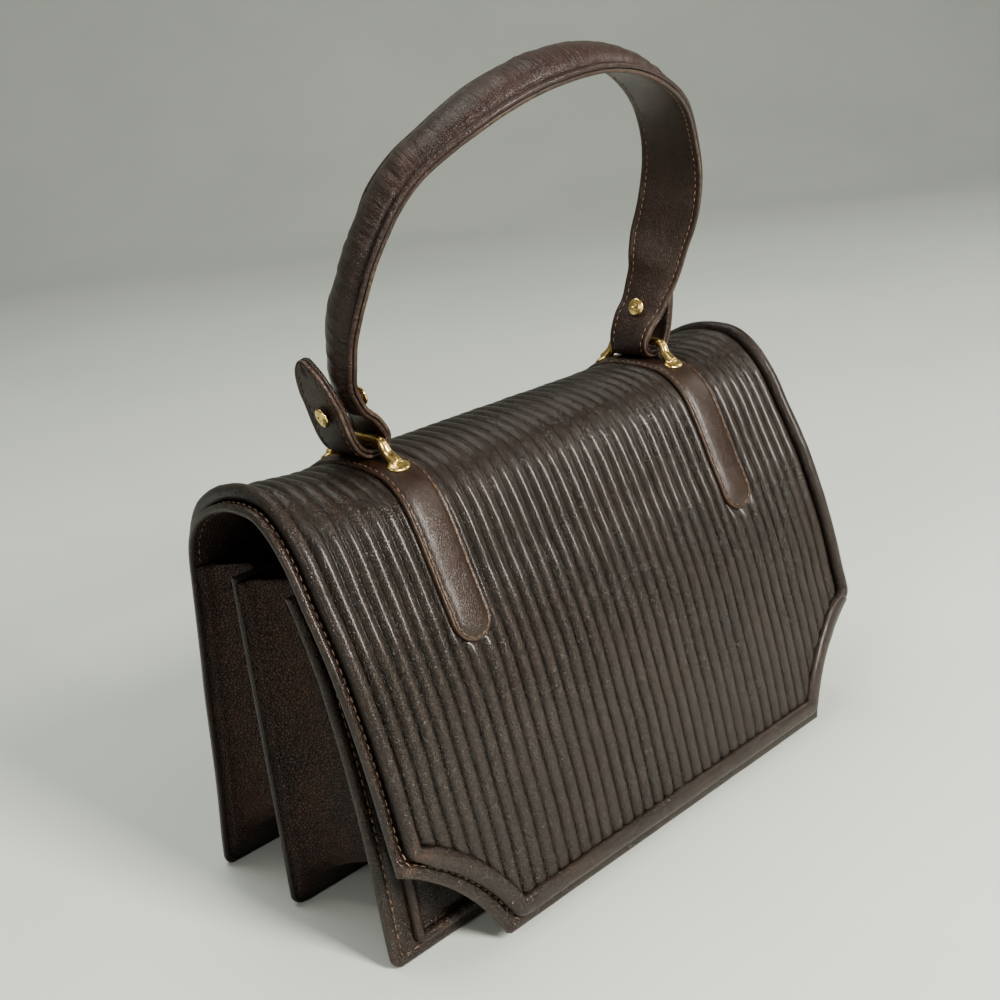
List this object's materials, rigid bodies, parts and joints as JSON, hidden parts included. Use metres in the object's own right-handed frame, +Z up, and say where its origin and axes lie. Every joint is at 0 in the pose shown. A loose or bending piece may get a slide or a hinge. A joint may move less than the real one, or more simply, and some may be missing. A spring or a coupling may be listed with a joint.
{
  "type": "structured top-handle leather handbag",
  "caption": "Structured top-handle leather handbag with a ribbed flap over accordion gussets and a padded arched handle on brass loops.",
  "frame": {"origin": "middle of the bag's base, at the level it rests on", "axes": "+Z up, the flap's face looks towards -Y, +X to the right seen from the front"},
  "size_m": [0.25, 0.13, 0.2809],
  "materials": {
    "pleated_leather": "dark brown grained leather, worn to a grey sheen along the rib crests",
    "smooth_leather": "smooth brown leather with a soft waxed shine",
    "gusset_leather": "matt reddish brown leather with a fine speckled grain",
    "handle_leather": "reddish brown padded leather with fine cross wrinkles and dark painted edges",
    "brass": "polished pale brass with slight tarnish in the recesses"
  },
  "bodies": {
    "root": {"shell": "smooth_leather", "pleats": "pleated_leather", "shell_roll": "pleated_leather", "front_panel": "smooth_leather", "front_roll": "smooth_leather", "divider": "gusset_leather", "gusset_rear": "gusset_leather", "gusset_front": "gusset_leather", "strap_left": "smooth_leather", "strap_right": "smooth_leather", "loop_left": "brass", "loop_right": "brass", "handle_strap": "handle_leather", "handle_cover": "handle_leather", "rivet_left": "brass", "rivet_right": "brass"}
  },
  "joints": []
}
